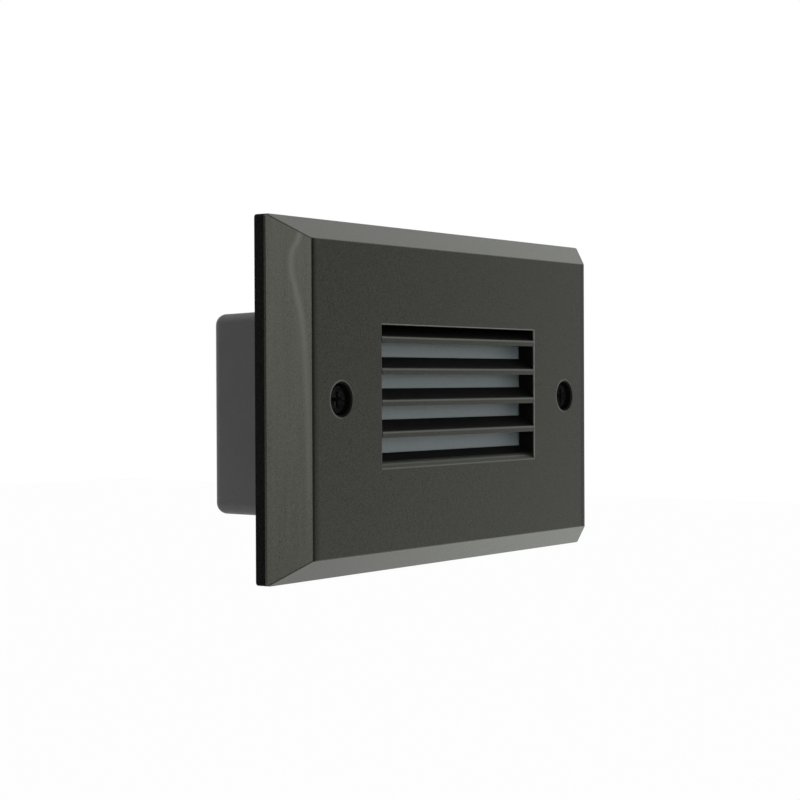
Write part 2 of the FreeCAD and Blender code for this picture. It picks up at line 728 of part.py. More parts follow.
def screw_wells(body):
    """The wells that the screw heads sink into, their through holes, and the blind pilot holes."""
    wells = new_sketch(body, "wells", level="well_floor")
    holes = new_sketch(body, "holes", level="rim_back")
    for side in ("-screw_side", "screw_side"):
        draw_circle(wells, side, None, "screw_well")
        draw_circle(holes, side, None, "screw_hole")
    add_pocket(body, wells, "wells_cut", "screw_well_depth")
    add_pocket(body, holes, "holes_cut", "plate_depth")
    pilots = new_sketch(body, "pilots", level="flange_front")
    for side, height in housing_screw_places():
        draw_circle(pilots, side, height, "small_thread_hole")
    add_pocket(body, pilots, "pilots_cut", "pilot_depth")
    face_level = number("face_level")
    radius = number("screw_well") / 2

    def on_well(edge, middle):
        distance = math.hypot(abs(middle.x) - number("screw_side"), middle.z)
        return near(middle.y, face_level) and near(distance, radius)

    add_edge_feature(body, "PartDesign::Chamfer", "well_edges", "Size", "screw_well_chamfer", on_well)

    def on_face_edge(edge, middle):
        beyond = abs(middle.x) > number("face_half_width") - 0.5 or abs(middle.z) > number("face_half_height") - 0.5
        return near(middle.y, face_level) and beyond

    add_fillet(body, "face_edge", "face_edge_round", on_face_edge)


# ---------------------------------------------------------------- seals and lens

def flat_ring(label, level, thick, outer, inner):
    """A flat seal between two square-cornered outlines, given as left, right, low and high."""
    body = new_body(label)
    ring = new_sketch(body, "ring", level=level)
    draw_box(ring, *outer)
    draw_box(ring, *inner)
    add_pad(body, ring, "ring_pad", thick)
    return body


def wall_gasket():
    """Foam as large as the plate, cut out round the housing's flange and holed for the screws."""
    body = new_body("wall_gasket")
    ring = new_sketch(body, "ring")
    draw_rounded(ring, "-plate_half_width", "plate_half_width", "-plate_half_height", "plate_half_height",
                 "rim_corner")
    draw_box(ring, "-gasket_half_width", "gasket_half_width", "gasket_bottom", "gasket_top")
    for side in ("-screw_side", "screw_side"):
        draw_circle(ring, side, None, "gasket_hole")
    add_pad(body, ring, "ring_pad", "gasket_thick")
    return body


def lens_gasket():
    outer = ("-lens_half_width", "lens_half_width", "lens_bottom", "lens_top")
    inner = ("-seal_inner_half", "seal_inner_half", "seal_inner_bottom", "seal_inner_top")
    return flat_ring("lens_gasket", "lens_front", "lens_seal_thick", outer, inner)


def housing_gasket():
    outer = ("-seal_outer_half", "seal_outer_half", "seal_outer_bottom", "seal_outer_top")
    inner = ("-seal_ring_half", "seal_ring_half", "seal_ring_bottom", "seal_ring_top")
    return flat_ring("housing_gasket", "flange_front", "housing_seal_thick", outer, inner)


def lens():
    body = new_body("lens")
    outline = new_sketch(body, "outline", level="lens_back")
    draw_box(outline, "-lens_half_width", "lens_half_width", "lens_bottom", "lens_top")
    add_pad(body, outline, "outline_pad", "lens_thick")
    return body


# ---------------------------------------------------------------- housing

def back_housing():
    """The moulded box: flange, drafted walls, posts, screw holes and the lead entry."""
    body = new_body("back_housing")
    flange = new_sketch(body, "flange", level="flange_back")
    draw_rounded(flange, "-flange_half_width", "flange_half_width", "flange_bottom", "flange_top",
                 "flange_corner")
    add_pad(body, flange, "flange_pad", "flange_thick")
    drafted_box(body)
    inner_mouth = new_sketch(body, "inner_mouth", level="flange_front")
    draw_box(inner_mouth, "-inner_half", "inner_half", "inner_bottom", "inner_top")
    inner_rear = new_sketch(body, "inner_rear", level="box_floor")
    draw_box(inner_rear, "-inner_rear_half", "inner_rear_half", "inner_rear_bottom", "inner_rear_top")
    add_loft(body, "inside", inner_mouth, inner_rear, cut=True)
    housing_posts(body)
    housing_holes(body)
    return body


def drafted_box(body):
    """The box's side profile over its whole width, its sides cut to their draft, its edges rounded."""
    profile = new_sketch(body, "profile", role="YZ_Plane")
    draw_polygon(profile, (("flange_back", "box_bottom"), ("flange_back", "box_top"),
                           ("box_reach", "box_rear_top"), ("box_reach", "box_rear_bottom")))
    add_pad(body, profile, "profile_pad", "box_width", midplane=True)
    sides = new_sketch(body, "sides", role="XY_Plane")
    for mouth, rear in (("box_half_width", "box_rear_half"), ("-box_half_width", "-box_rear_half")):
        draw_polygon(sides, ((mouth, "flange_back"), (mouth, "box_reach"), (rear, "box_reach")))
    cut = add_pocket(body, sides, "sides_cut", "box_cut_height")
    cut.Midplane = True
    reach = number("box_reach")
    add_fillet(body, "long_edges", "box_corner",
               lambda edge, middle: near(middle.y, reach / 2, 2) and edge.Length > reach)
    add_fillet(body, "rear_edge", "box_corner", lambda edge, middle: near(middle.y, reach))


def spreader_post_places():
    sides = ("-spreader_screw_side", "spreader_screw_side")
    return [(side, height) for height in ("spreader_screw_bottom", "spreader_screw_top") for side in sides]


def spreader_screw_places():
    """Two opposite posts take the screws, and the other two only carry the spreader."""
    low_left, low_right, high_left, high_right = spreader_post_places()
    return [low_right, high_left]


def board_screw_places():
    return [(side, "board_screw_height") for side in ("-board_screw_side", "board_screw_side")]


def driver_screw_places():
    return [(side, "driver_screw_height") for side in ("-driver_screw_side", "driver_screw_side")]


def housing_posts(body):
    """Four long posts for the heat spreader and two short ones for the driver board."""
    long_posts = new_sketch(body, "long_posts", level="spreader_back")
    for side, height in spreader_post_places():
        draw_square(long_posts, side, height, "post_width")
    add_pad(body, long_posts, "long_posts_pad", "post_root", backward=True)
    short_posts = new_sketch(body, "short_posts", level="driver_back")
    for side, height in driver_screw_places():
        draw_square(short_posts, side, height, "post_width")
    add_pad(body, short_posts, "short_posts_pad", "driver_post_root", backward=True)


def housing_holes(body):
    """Blind holes in the posts, through holes in the flange and the round lead entry."""
    long_pilots = new_sketch(body, "long_pilots", level="spreader_back")
    for side, height in spreader_screw_places():
        draw_circle(long_pilots, side, height, "small_thread_hole")
    add_pocket(body, long_pilots, "long_pilots_cut", "spreader_pilot", forward=False)
    short_pilots = new_sketch(body, "short_pilots", level="driver_back")
    for side, height in driver_screw_places():
        draw_circle(short_pilots, side, height, "small_thread_hole")
    add_pocket(body, short_pilots, "short_pilots_cut", "driver_pilot", forward=False)
    flange_holes = new_sketch(body, "flange_holes", level="flange_back")
    for side, height in housing_screw_places():
        draw_circle(flange_holes, side, height, "small_clear_hole")
    add_pocket(body, flange_holes, "flange_holes_cut", "flange_thick")
    entry = new_sketch(body, "entry", level="box_floor")
    draw_circle(entry, None, "entry_height", "entry_groove")
    add_pocket(body, entry, "entry_cut", "box_wall", forward=False)


def lead_grommet():
    """The rubber bush of the lead entry, turned about its own axis, with a groove for the wall."""
    body = new_body("lead_grommet")
    profile = new_sketch(body, "profile", role="XY_Plane")
    draw_polygon(profile, (("entry_bore_radius", "grommet_front"), ("entry_flange_radius", "grommet_front"),
                           ("entry_flange_radius", "box_floor"), ("entry_groove_radius", "box_floor"),
                           ("entry_groove_radius", "box_reach"), ("entry_flange_radius", "box_reach"),
                           ("entry_bore_radius", "grommet_back")))
    turned = body.newObject("PartDesign::Revolution", "lead_grommet_turned")
    turned.Profile = profile
    turned.ReferenceAxis = (origin_feature(body, "Y_Axis"), [""])
    turned.Angle = 360
    body.setExpression("Placement.Base.z", cell("entry_height"))
    return body


# ---------------------------------------------------------------- light source

def light_chamber():
    """The white tray between the light board and the lens: a tube with a flange that carries the lens."""
    body = new_body("light_chamber")
    flange = new_sketch(body, "flange", level="chamber_flange_back")
    draw_box(flange, "-lens_half_width", "lens_half_width", "lens_bottom", "lens_top")
    add_pad(body, flange, "flange_pad", "chamber_wall")
    tube = new_sketch(body, "tube", level="chamber_back")
    draw_box(tube, "-chamber_half", "chamber_half", "chamber_bottom", "chamber_top")
    add_pad(body, tube, "tube_pad", "chamber_length")
    hollow = new_sketch(body, "hollow", level="chamber_back")
    draw_box(hollow, "-chamber_inner_half", "chamber_inner_half", "chamber_inner_bottom",
             "chamber_inner_top")
    add_pocket(body, hollow, "hollow_cut", "chamber_length")
    return body


def led_board():
    """The metal-core board, with two screw holes and two holes for the inner leads."""
    body = new_body("led_board")
    outline = new_sketch(body, "outline", level="board_back")
    draw_box(outline, "-board_half", "board_half", "board_bottom", "board_top")
    for side in ("-board_screw_side", "board_screw_side"):
        draw_circle(outline, side, "board_screw_height", "small_clear_hole")
    for side in ("-lead_side", "lead_side"):
        draw_square(outline, side, "lead_height", "lead_hole")
    add_pad(body, outline, "outline_pad", "board_thick")
    return body


def slotted_sheet(label, level, half_width):
    """The outline of a flat plate across the housing, with a slot for the inner leads."""
    body = new_body(label)
    outline = new_sketch(body, "outline", level=level)
    draw_box(outline, "-" + half_width, half_width, "spreader_bottom", "spreader_top")
    draw_box(outline, "-slot_half", "slot_half", "slot_bottom", "slot_top")
    return body, outline


def heat_spreader():
    body, outline = slotted_sheet("heat_spreader", "spreader_back", "spreader_half")
    for side, height in spreader_screw_places():
        draw_circle(outline, side, height, "small_clear_hole")
    for side in ("-board_screw_side", "board_screw_side"):
        draw_circle(outline, side, "board_screw_height", "small_thread_hole")
    add_pad(body, outline, "outline_pad", "spreader_thick")
    return body


def insulating_sheet():
    """The film on the back of the spreader, between its posts."""
    body, outline = slotted_sheet("insulating_sheet", "film_back", "film_half")
    add_pad(body, outline, "outline_pad", "film_thick")
    return body


def place(item, across=None, along=None, up=None):
    """Moves a body by the formulas given for X, Y and Z."""
    for axis, formula in zip("xyz", (across, along, up)):
        if formula:
            item.setExpression(f"Placement.Base.{axis}", formula)


def group(label, model, spots):
    """Separate copies of one model at several spots, which share one node."""
    links = []
    for index, spot in enumerate(spots):
        link = doc.addObject("App::Link", f"{label}_{index}")
        link.LinkedObject = model
        place(link, *spot)
        links.append(link)
    together = doc.addObject("Part::Compound", f"{label}_group")
    together.Label = label
    together.Links = links
    return together


def leds():
    """Rows of surface-mounted chips on the front of the light board."""
    chip = new_body("led_model")
    outline = new_sketch(chip, "outline")
    draw_box(outline, "-chip_half_width", "chip_half_width", "-chip_half_height", "chip_half_height")
    add_pad(chip, outline, "outline_pad", "chip_thick")
    spots = []
    for row in range(int(number("chip_rows"))):
        for column in range(int(number("chip_columns"))):
            across = f"Sizes.chip_step * ({column} - (Sizes.chip_columns - 1) / 2)"
            up = f"Sizes.chip_row_step * ({row} - (Sizes.chip_rows - 1) / 2)"
            spots.append((across, "Sizes.chamber_back", up))
    return group("leds", chip, spots)


# ---------------------------------------------------------------- screws

def turned(body, corners, axis="Y_Axis", role="XY_Plane"):
    """Revolves a closed outline about an axis of the body."""
    profile = new_sketch(body, "profile", role=role)
    draw_polygon(profile, corners)
    revolution = body.newObject("PartDesign::Revolution", f"{body.Label}_turned")
    revolution.Profile = profile
    revolution.ReferenceAxis = (origin_feature(body, axis), [""])
    revolution.Angle = 360
    profile.Visibility = False
    return revolution


def small_screws(label, places, seat, length, forward=False):
    """Hex-head screws from one model, with the undersides of their heads on the seat."""
    model = new_body(f"{label}_model")
    head = new_sketch(model, "head")
    draw_hexagon(head, "small_head")
    add_pad(model, head, "head_pad", "small_head_thick", backward=forward)
    shank = new_sketch(model, "shank")
    draw_circle(shank, None, None, "small_thread")
    add_pad(model, shank, "shank_pad", length, backward=not forward)
    spots = [(cell(side), cell(seat), cell(height)) for side, height in places]
    return group(label, model, spots)


def face_screw(label, side):
    """A pan-head machine screw: domed head with a cross recess, plain neck, full thread behind."""
    body = new_body(label)
    turned(body, ((None, "head_top"), ("head_dome_radius", "head_top"), ("head_radius", "head_shoulder"),
                  ("head_radius", "head_seat"), ("neck_radius", "head_seat"), ("neck_radius", None),
                  ("thread_radius", None), ("thread_radius", "screw_tip"), (None, "screw_tip")))
    cross = new_sketch(body, "cross", level="head_top")
    draw_cross(cross, "cross_half", "cross_arm")
    add_pocket(body, cross, "cross_cut", "cross_depth", forward=False)
    place(body, across=cell(side))
    return body


def draw_cross(sketch, reach, arm):
    """The outline of two bars that cross at the origin."""
    far, short = reach, arm
    draw_polygon(sketch, ((short, "-" + far), (short, "-" + short), (far, "-" + short), (far, short),
                          (short, short), (short, far), ("-" + short, far), ("-" + short, short),
                          ("-" + far, short), ("-" + far, "-" + short), ("-" + short, "-" + short),
                          ("-" + short, "-" + far)))


def screw_seal(label, side):
    """The nylon washer under a face screw's head."""
    body = new_body(label)
    disc = new_sketch(body, "disc", level="well_floor")
    draw_circle(disc, None, None, "seal_disc")
    draw_circle(disc, None, None, "seal_bore")
    add_pad(body, disc, "disc_pad", "seal_thick")
    place(body, across=cell(side))
    return body


# ---------------------------------------------------------------- driver

def driver_board():
    body = new_body("driver_board")
    outline = new_sketch(body, "outline", level="driver_back")
    draw_box(outline, "-driver_half", "driver_half", "driver_bottom", "driver_top")
    for side, height in driver_screw_places():
        draw_circle(outline, side, height, "small_clear_hole")
    add_pad(body, outline, "outline_pad", "board_thick")
    return body


def storage_capacitor():
    """A can standing on the board, with a bevelled top."""
    body = new_body("storage_capacitor")
    turned(body, ((None, None), ("can_radius", None), ("can_radius", "-can_shoulder"),
                  ("can_top_radius", "-can_length"), (None, "-can_length")))
    place(body, "Sizes.can_side", "Sizes.driver_front", "Sizes.can_height")
    return body


def transformer_core():
    """Two ferrite halves that meet as one block with two windows round a middle leg."""
    body = new_body("transformer_core")
    block = new_sketch(body, "block", role="XY_Plane")
    draw_polygon(block, (("-core_half", None), ("core_half", None), ("core_half", "-core_length"),
                         ("-core_half", "-core_length")))
    for inner, outer in (("leg_half", "window_half"), ("-window_half", "-leg_half")):
        draw_polygon(block, ((inner, "-yoke_thick"), (outer, "-yoke_thick"), (outer, "-yoke_far"),
                             (inner, "-yoke_far")))
    add_pad(body, block, "block_pad", "core_thick", midplane=True)
    place(body, "Sizes.core_side", "Sizes.driver_front", "Sizes.core_height")
    return body


def transformer_coil():
    """The taped winding round the middle leg."""
    body = new_body("transformer_coil")
    ring = new_sketch(body, "ring", level="-coil_start")
    draw_rounded(ring, "-coil_half", "coil_half", "-coil_half_height", "coil_half_height", "coil_corner")
    draw_box(ring, "-coil_hole_half", "coil_hole_half", "-coil_hole_height", "coil_hole_height")
    add_pad(body, ring, "ring_pad", "coil_length")
    place(body, "Sizes.core_side", "Sizes.driver_front", "Sizes.core_height")
    return body


def moulded_block(label, outline_half, thick, spot):
    """A small moulded part on the driver board, bevelled round its top."""
    body = new_body(label)
    outline = new_sketch(body, "outline")
    half_width, half_height = outline_half
    draw_box(outline, "-" + half_width, half_width, "-" + half_height, half_height)
    add_pad(body, outline, "outline_pad", thick)
    top = -number(thick)
    add_edge_feature(body, "PartDesign::Chamfer", "top_edge", "Size", "block_chamfer",
                     lambda edge, middle: near(middle.y, top))
    place(body, cell(spot[0]), "Sizes.driver_front", cell(spot[1]))
    return body


def film_capacitor():
    return moulded_block("film_capacitor", ("film_cap_half", "film_cap_half_height"), "film_cap_thick",
                         ("film_cap_side", "film_cap_place"))


def bridge_rectifier():
    return moulded_block("bridge_rectifier", ("bridge_half", "bridge_half_height"), "bridge_thick",
                         ("bridge_side", "bridge_place"))


def driver_chip():
    """The driver's moulded chip, with one pair of legs repeated along it."""
    body = moulded_block("driver_chip", ("ic_half", "ic_half_height"), "ic_thick", ("ic_side", "ic_place"))
    legs = new_sketch(body, "legs")
    for low, high in (("pin_root", "pin_reach"), ("-pin_reach", "-pin_root")):
        draw_polygon(legs, (("pin_left", low), ("pin_right", low), ("pin_right", high), ("pin_left", high)))
    pair = add_pad(body, legs, "legs_pad", "pin_thick")
    doc.recompute()
    pattern = body.newObject("PartDesign::LinearPattern", "driver_chip_pins")
    pattern.Originals = [pair]
    pattern.Direction = (origin_feature(body, "X_Axis"), [""])
    pattern.setExpression("Length", cell("pin_run"))
    pattern.setExpression("Occurrences", cell("pin_count"))
    body.Tip = pattern
    return body


def fuse_resistor():
    """A lying barrel on two legs that stand on the board."""
    body = new_body("fuse_resistor")
    turned(body, (("-fuse_half", None), ("fuse_half", None), ("fuse_half", "fuse_radius"),
                  ("-fuse_half", "fuse_radius")), axis="X_Axis")
    feet = new_sketch(body, "feet")
    for side in ("-fuse_foot_side", "fuse_foot_side"):
        draw_square(feet, side, None, "wire_width")
    add_pad(body, feet, "feet_pad", "fuse_rise", backward=True)
    place(body, "Sizes.fuse_side", "Sizes.driver_front - Sizes.fuse_rise", "Sizes.fuse_height")
    return body


def varistor():
    """A coated disc standing on edge on two legs."""
    body = new_body("varistor")
    disc = new_sketch(body, "disc", role="YZ_Plane")
    draw_circle(disc, None, None, "disc_width")
    add_pad(body, disc, "disc_pad", "disc_thick", midplane=True)
    feet = new_sketch(body, "feet")
    for height in ("-disc_foot_side", "disc_foot_side"):
        draw_square(feet, None, height, "wire_width")
    add_pad(body, feet, "feet_pad", "disc_rise", backward=True)
    place(body, "Sizes.disc_side", "Sizes.driver_front - Sizes.disc_rise", "Sizes.disc_height")
    return body


# ---------------------------------------------------------------- inner leads

def inner_lead(label, side):
    """A stiff insulated lead from the driver board, through the spreader's slot, to the light board."""
    body = new_body(label)
    section = new_sketch(body, "section", level="driver_front")
    draw_circle(section, side, "lead_height", "lead_width")
    add_pad(body, section, "section_pad", "lead_length")
    return body


# ---------------------------------------------------------------- the whole light

def build_parts():
    fill_sheet()
    return [
        faceplate(),
        wall_gasket(),
        lens_gasket(),
        housing_gasket(),
        lens(),
        back_housing(),
        lead_grommet(),
        light_chamber(),
        led_board(),
        leds(),
        heat_spreader(),
        insulating_sheet(),
        driver_board(),
        storage_capacitor(),
        transformer_core(),
        transformer_coil(),
        film_capacitor(),
        bridge_rectifier(),
        driver_chip(),
        fuse_resistor(),
        varistor(),
        inner_lead("led_lead_positive", "-lead_side"),
        inner_lead("led_lead_negative", "lead_side"),
        face_screw("left_face_screw", "-screw_side"),
        face_screw("right_face_screw", "screw_side"),
        screw_seal("left_screw_seal", "-screw_side"),
        screw_seal("right_screw_seal", "screw_side"),
        small_screws("housing_screws", housing_screw_places(), "flange_back", "small_length",
                     forward=True),
        small_screws("led_board_screws", board_screw_places(), "chamber_back", "board_screw_length"),
        small_screws("heat_spreader_screws", spreader_screw_places(), "board_back",
                     "spreader_screw_length"),
        small_screws("driver_board_screws", driver_screw_places(), "driver_front",
                     "driver_screw_length"),
    ]


def check(parts):
    """Stops before anything is written if a feature failed or a part is not a valid solid."""
    failed = [item.Name for item in doc.Objects if {"Invalid", "Error"} & set(item.State)]
    if failed:
        raise RuntimeError(f"features failed: {failed}")
    for part in parts:
        shape = part.Shape
        if shape.isNull() or not shape.isValid() or not shape.Solids:
            raise RuntimeError(f"{part.Label} is not a valid solid")
        print(part.Label, len(shape.Solids), "solids", round(shape.Volume, 1), "mm3")


def write(parts):
    os.makedirs("parts", exist_ok=True)
    for part in parts:
        part.Shape.exportStep(f"parts/{part.Label}.step")


light_parts = build_parts()
doc.recompute()
check(light_parts)
write(light_parts)
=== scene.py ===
import math

import bmesh
import bpy
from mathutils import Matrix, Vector

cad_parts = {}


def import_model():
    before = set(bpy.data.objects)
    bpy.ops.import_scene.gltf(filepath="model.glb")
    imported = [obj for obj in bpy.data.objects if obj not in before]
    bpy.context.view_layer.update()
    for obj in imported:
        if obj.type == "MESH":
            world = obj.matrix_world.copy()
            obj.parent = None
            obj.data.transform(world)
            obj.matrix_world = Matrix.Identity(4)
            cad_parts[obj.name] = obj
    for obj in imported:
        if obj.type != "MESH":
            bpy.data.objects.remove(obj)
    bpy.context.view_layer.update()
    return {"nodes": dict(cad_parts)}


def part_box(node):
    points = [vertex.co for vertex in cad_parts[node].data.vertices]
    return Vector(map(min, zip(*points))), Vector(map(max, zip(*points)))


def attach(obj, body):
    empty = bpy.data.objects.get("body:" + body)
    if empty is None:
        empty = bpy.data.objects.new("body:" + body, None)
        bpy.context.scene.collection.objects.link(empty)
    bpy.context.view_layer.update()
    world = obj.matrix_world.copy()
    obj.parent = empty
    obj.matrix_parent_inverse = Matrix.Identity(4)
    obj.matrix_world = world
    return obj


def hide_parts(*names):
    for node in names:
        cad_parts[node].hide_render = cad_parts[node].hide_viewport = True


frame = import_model()
nodes = frame["nodes"]
scene = bpy.context.scene


# ---------------------------------------------------------------- materials

# the faceplate's front as the solids have it, in metres
plate_low, plate_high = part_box("faceplate")
PLATE_HALF_WIDTH = plate_high[0]
PLATE_HALF_HEIGHT = plate_high[2]
FACE_LEVEL = plate_low[1]
BEVEL_SIDE = 0.00643
BEVEL_TOP = 0.00447
FACE_HALF_WIDTH = PLATE_HALF_WIDTH - BEVEL_SIDE
OPENING_HALF_WIDTH = 0.0285
OPENING_HALF_HEIGHT = 0.0142
OPENING_MIDDLE = 0.0004
BLADE_TOP = 0.01225
BLADE_PITCH = 0.0063
SCREW_SIDE = 0.04167
WELL_RIM = 0.003475
# just above the sill's lip
ABOVE_SILL = -0.0124

# how far the coat's marks and its painted shade and highlights reach, in metres
EDGE_SOFT = 0.0004
EDGE_LINE = 0.0007
EDGE_FADE_FOOT = 0.0024
EDGE_FADE_TOP = 0.0016
LIP_REACH = 0.0003
NOSE_HIGHLIGHT_REACH = 0.0004
RECESS_START = 0.0002
RECESS_FULL = 0.0005
GRAIN_DEPTH = 0.00005
ROUND_STEEPNESS = 0.3

# shares of the bevel's breadth
MITRE_WIDTH = 0.07
BEVEL_REFLECTION_WIDTH = 0.1
# the path of the painted reflection, a pale line on the left bevel
# along the plate's height from 0 at its foot to 1 at its top, and across the bevel from 0 to 1
BEVEL_REFLECTION_PATH = ((0.0, 0.95), (0.3, 0.92), (0.55, 0.87), (0.7, 0.80), (0.8, 0.64), (0.87, 0.55), (0.93, 0.70),
             (1.0, 0.9))
# it goes from faint at this level below the plate's middle to plain at the same level above
BEVEL_REFLECTION_FAINT = 0.2
BEVEL_REFLECTION_PLAIN = 0.8
BEVEL_REFLECTION_LEVEL = 0.6 * PLATE_HALF_HEIGHT

COAT_DARK = (0.030, 0.0306, 0.0256)
COAT_LIGHT = (0.074, 0.0755, 0.063)
COAT_CLOUD = (0.052, 0.053, 0.0445)
BRUSHED_TONE = (0.075, 0.075, 0.062)
# painted reflection on the left bevel
BEVEL_REFLECTION_TONE = (0.086, 0.089, 0.078)
# dark mitre lines: partly the coat's own, partly painted shade of the rounded edges
MITRE_TONE = (0.012, 0.012, 0.010)
# painted highlight on the lips of the opening and the wells and on the blades' noses
LIP_HIGHLIGHT_TONE = (0.15, 0.157, 0.142)
# painted shade at the face's side edges
EDGE_SHADE_TONE = (0.003, 0.003, 0.0025)
# painted shade in the recesses behind the face and in the screw wells
RECESS_SHADE_TONE = (0.002, 0.002, 0.0017)

CLOUD_STRENGTH = 0.35
BRUSH_STRENGTH = 0.35
MITRE_STRENGTH = 0.75
LIP_HIGHLIGHT_STRENGTH = 0.6
WELL_LIP_STRENGTH = 0.35
OPENING_LIP_STRENGTH = 1.5
EDGE_FADE_STRENGTH = 0.85
EDGE_LINE_STRENGTH = 0.8
RECESS_SHADE_STRENGTH = 0.9
RECESS_ROUGHNESS = 0.3

# most of a noise lies between these two
NOISE_LOW = 0.3
NOISE_HIGH = 0.7

# sockets of a mix node that is set to colours
MIX_SHARE, MIX_FIRST, MIX_SECOND, MIX_RESULT = 0, 6, 7, 2


class Shader:
    """Builds one node material around a Principled surface."""

    def __init__(self, name, metallic=0.0):
        self.material = bpy.data.materials.new(name)
        self.material.use_nodes = True
        self.tree = self.material.node_tree
        self.tree.nodes.clear()
        self.output = self.add("ShaderNodeOutputMaterial")
        self.surface = self.add("ShaderNodeBsdfPrincipled")
        self.put("Metallic", metallic)
        self.link(self.surface.outputs["BSDF"], self.output.inputs["Surface"])
        self.place = self.add("ShaderNodeTexCoord").outputs["Object"]

    def add(self, kind, **settings):
        node = self.tree.nodes.new(kind)
        for key, value in settings.items():
            setattr(node, key, value)
        return node

    def link(self, start, end):
        self.tree.links.new(start, end)

    def feed(self, value, socket):
        """The value is the output of another node or a number."""
        if hasattr(value, "is_linked"):
            self.link(value, socket)
        else:
            socket.default_value = value

    def noise(self, scale, detail, rough, stretch=None):
        node = self.add("ShaderNodeTexNoise")
        node.inputs["Scale"].default_value = scale
        node.inputs["Detail"].default_value = detail
        node.inputs["Roughness"].default_value = rough
        self.link(self.stretched(stretch) if stretch else self.place, node.inputs["Vector"])
        return node.outputs["Fac"]

    def stretched(self, scale):
        mapping = self.add("ShaderNodeMapping")
        mapping.inputs["Scale"].default_value = scale
        self.link(self.place, mapping.inputs["Vector"])
        return mapping.outputs["Vector"]

    def cells(self, scale):
        node = self.add("ShaderNodeTexVoronoi")
        node.inputs["Scale"].default_value = scale
        self.link(self.place, node.inputs["Vector"])
        return node.outputs["Distance"]

    def spread(self, value, low, high, start=NOISE_LOW, end=NOISE_HIGH):
        """Low where the value is at start, high where it is at end, and held beyond both."""
        node = self.add("ShaderNodeMapRange")
        node.inputs["From Min"].default_value = start
        node.inputs["From Max"].default_value = end
        node.inputs["To Min"].default_value = low
        node.inputs["To Max"].default_value = high
        self.link(value, node.inputs["Value"])
        return node.outputs["Result"]

    def ramp(self, value, stops):
        node = self.add("ShaderNodeValToRGB")
        elements = node.color_ramp.elements
        while len(elements) < len(stops):
            elements.new(0.5)
        for element, (place, colour) in zip(elements, stops):
            element.position = place
            element.color = (*colour, 1.0)
        self.link(value, node.inputs["Fac"])
        return node.outputs["Color"]

    def two_tone(self, value, first, second):
        return self.ramp(value, [(NOISE_LOW, first), (NOISE_HIGH, second)])

    def mixed(self, share, base, tint):
        node = self.add("ShaderNodeMix", data_type="RGBA", blend_type="MIX")
        self.link(share, node.inputs[MIX_SHARE])
        self.link(base, node.inputs[MIX_FIRST])
        node.inputs[MIX_SECOND].default_value = (*tint, 1.0)
        return node.outputs[MIX_RESULT]

    def split(self, vector):
        node = self.add("ShaderNodeSeparateXYZ")
        self.link(vector, node.inputs["Vector"])
        return node.outputs["X"], node.outputs["Y"], node.outputs["Z"]

    def maths(self, operation, *values, clamp=False):
        node = self.add("ShaderNodeMath", operation=operation, use_clamp=clamp)
        for value, socket in zip(values, node.inputs):
            self.feed(value, socket)
        return node.outputs["Value"]

    def minus(self, first, second):
        return self.maths("SUBTRACT", first, second)

    def times(self, first, second):
        return self.maths("MULTIPLY", first, second)

    def smaller(self, first, second):
        return self.maths("MINIMUM", first, second)

    def larger(self, first, second):
        return self.maths("MAXIMUM", first, second)

    def magnitude(self, value):
        return self.maths("ABSOLUTE", value)

    def over(self, first, second):
        return self.maths("GREATER_THAN", first, second)

    def under(self, first, second):
        return self.maths("LESS_THAN", first, second)

    def repeated(self, value, length):
        """The value's remainder, from 0 to the length."""
        return self.maths("WRAP", value, length, 0.0)

    def nearness(self, distance, reach, where):
        """One at an edge and nothing at its reach from it, on one side only."""
        inside = self.maths("DIVIDE", distance, reach)
        return self.times(self.maths("SUBTRACT", 1.0, inside, clamp=True), where)

    def colour(self, value):
        self.link(value, self.surface.inputs["Base Color"])

    def roughness(self, value):
        self.link(value, self.surface.inputs["Roughness"])

    def bump(self, height, strength, distance, before=None):
        node = self.add("ShaderNodeBump")
        node.inputs["Strength"].default_value = strength
        node.inputs["Distance"].default_value = distance
        self.link(height, node.inputs["Height"])
        if before is not None:
            self.link(before, node.inputs["Normal"])
        self.link(node.outputs["Normal"], self.surface.inputs["Normal"])
        return node.outputs["Normal"]

    def put(self, key, value):
        self.surface.inputs[key].default_value = value


def tone(colour, factor):
    return tuple(min(1.0, channel * factor) for channel in colour)


def grey(level):
    return (level, level, level)


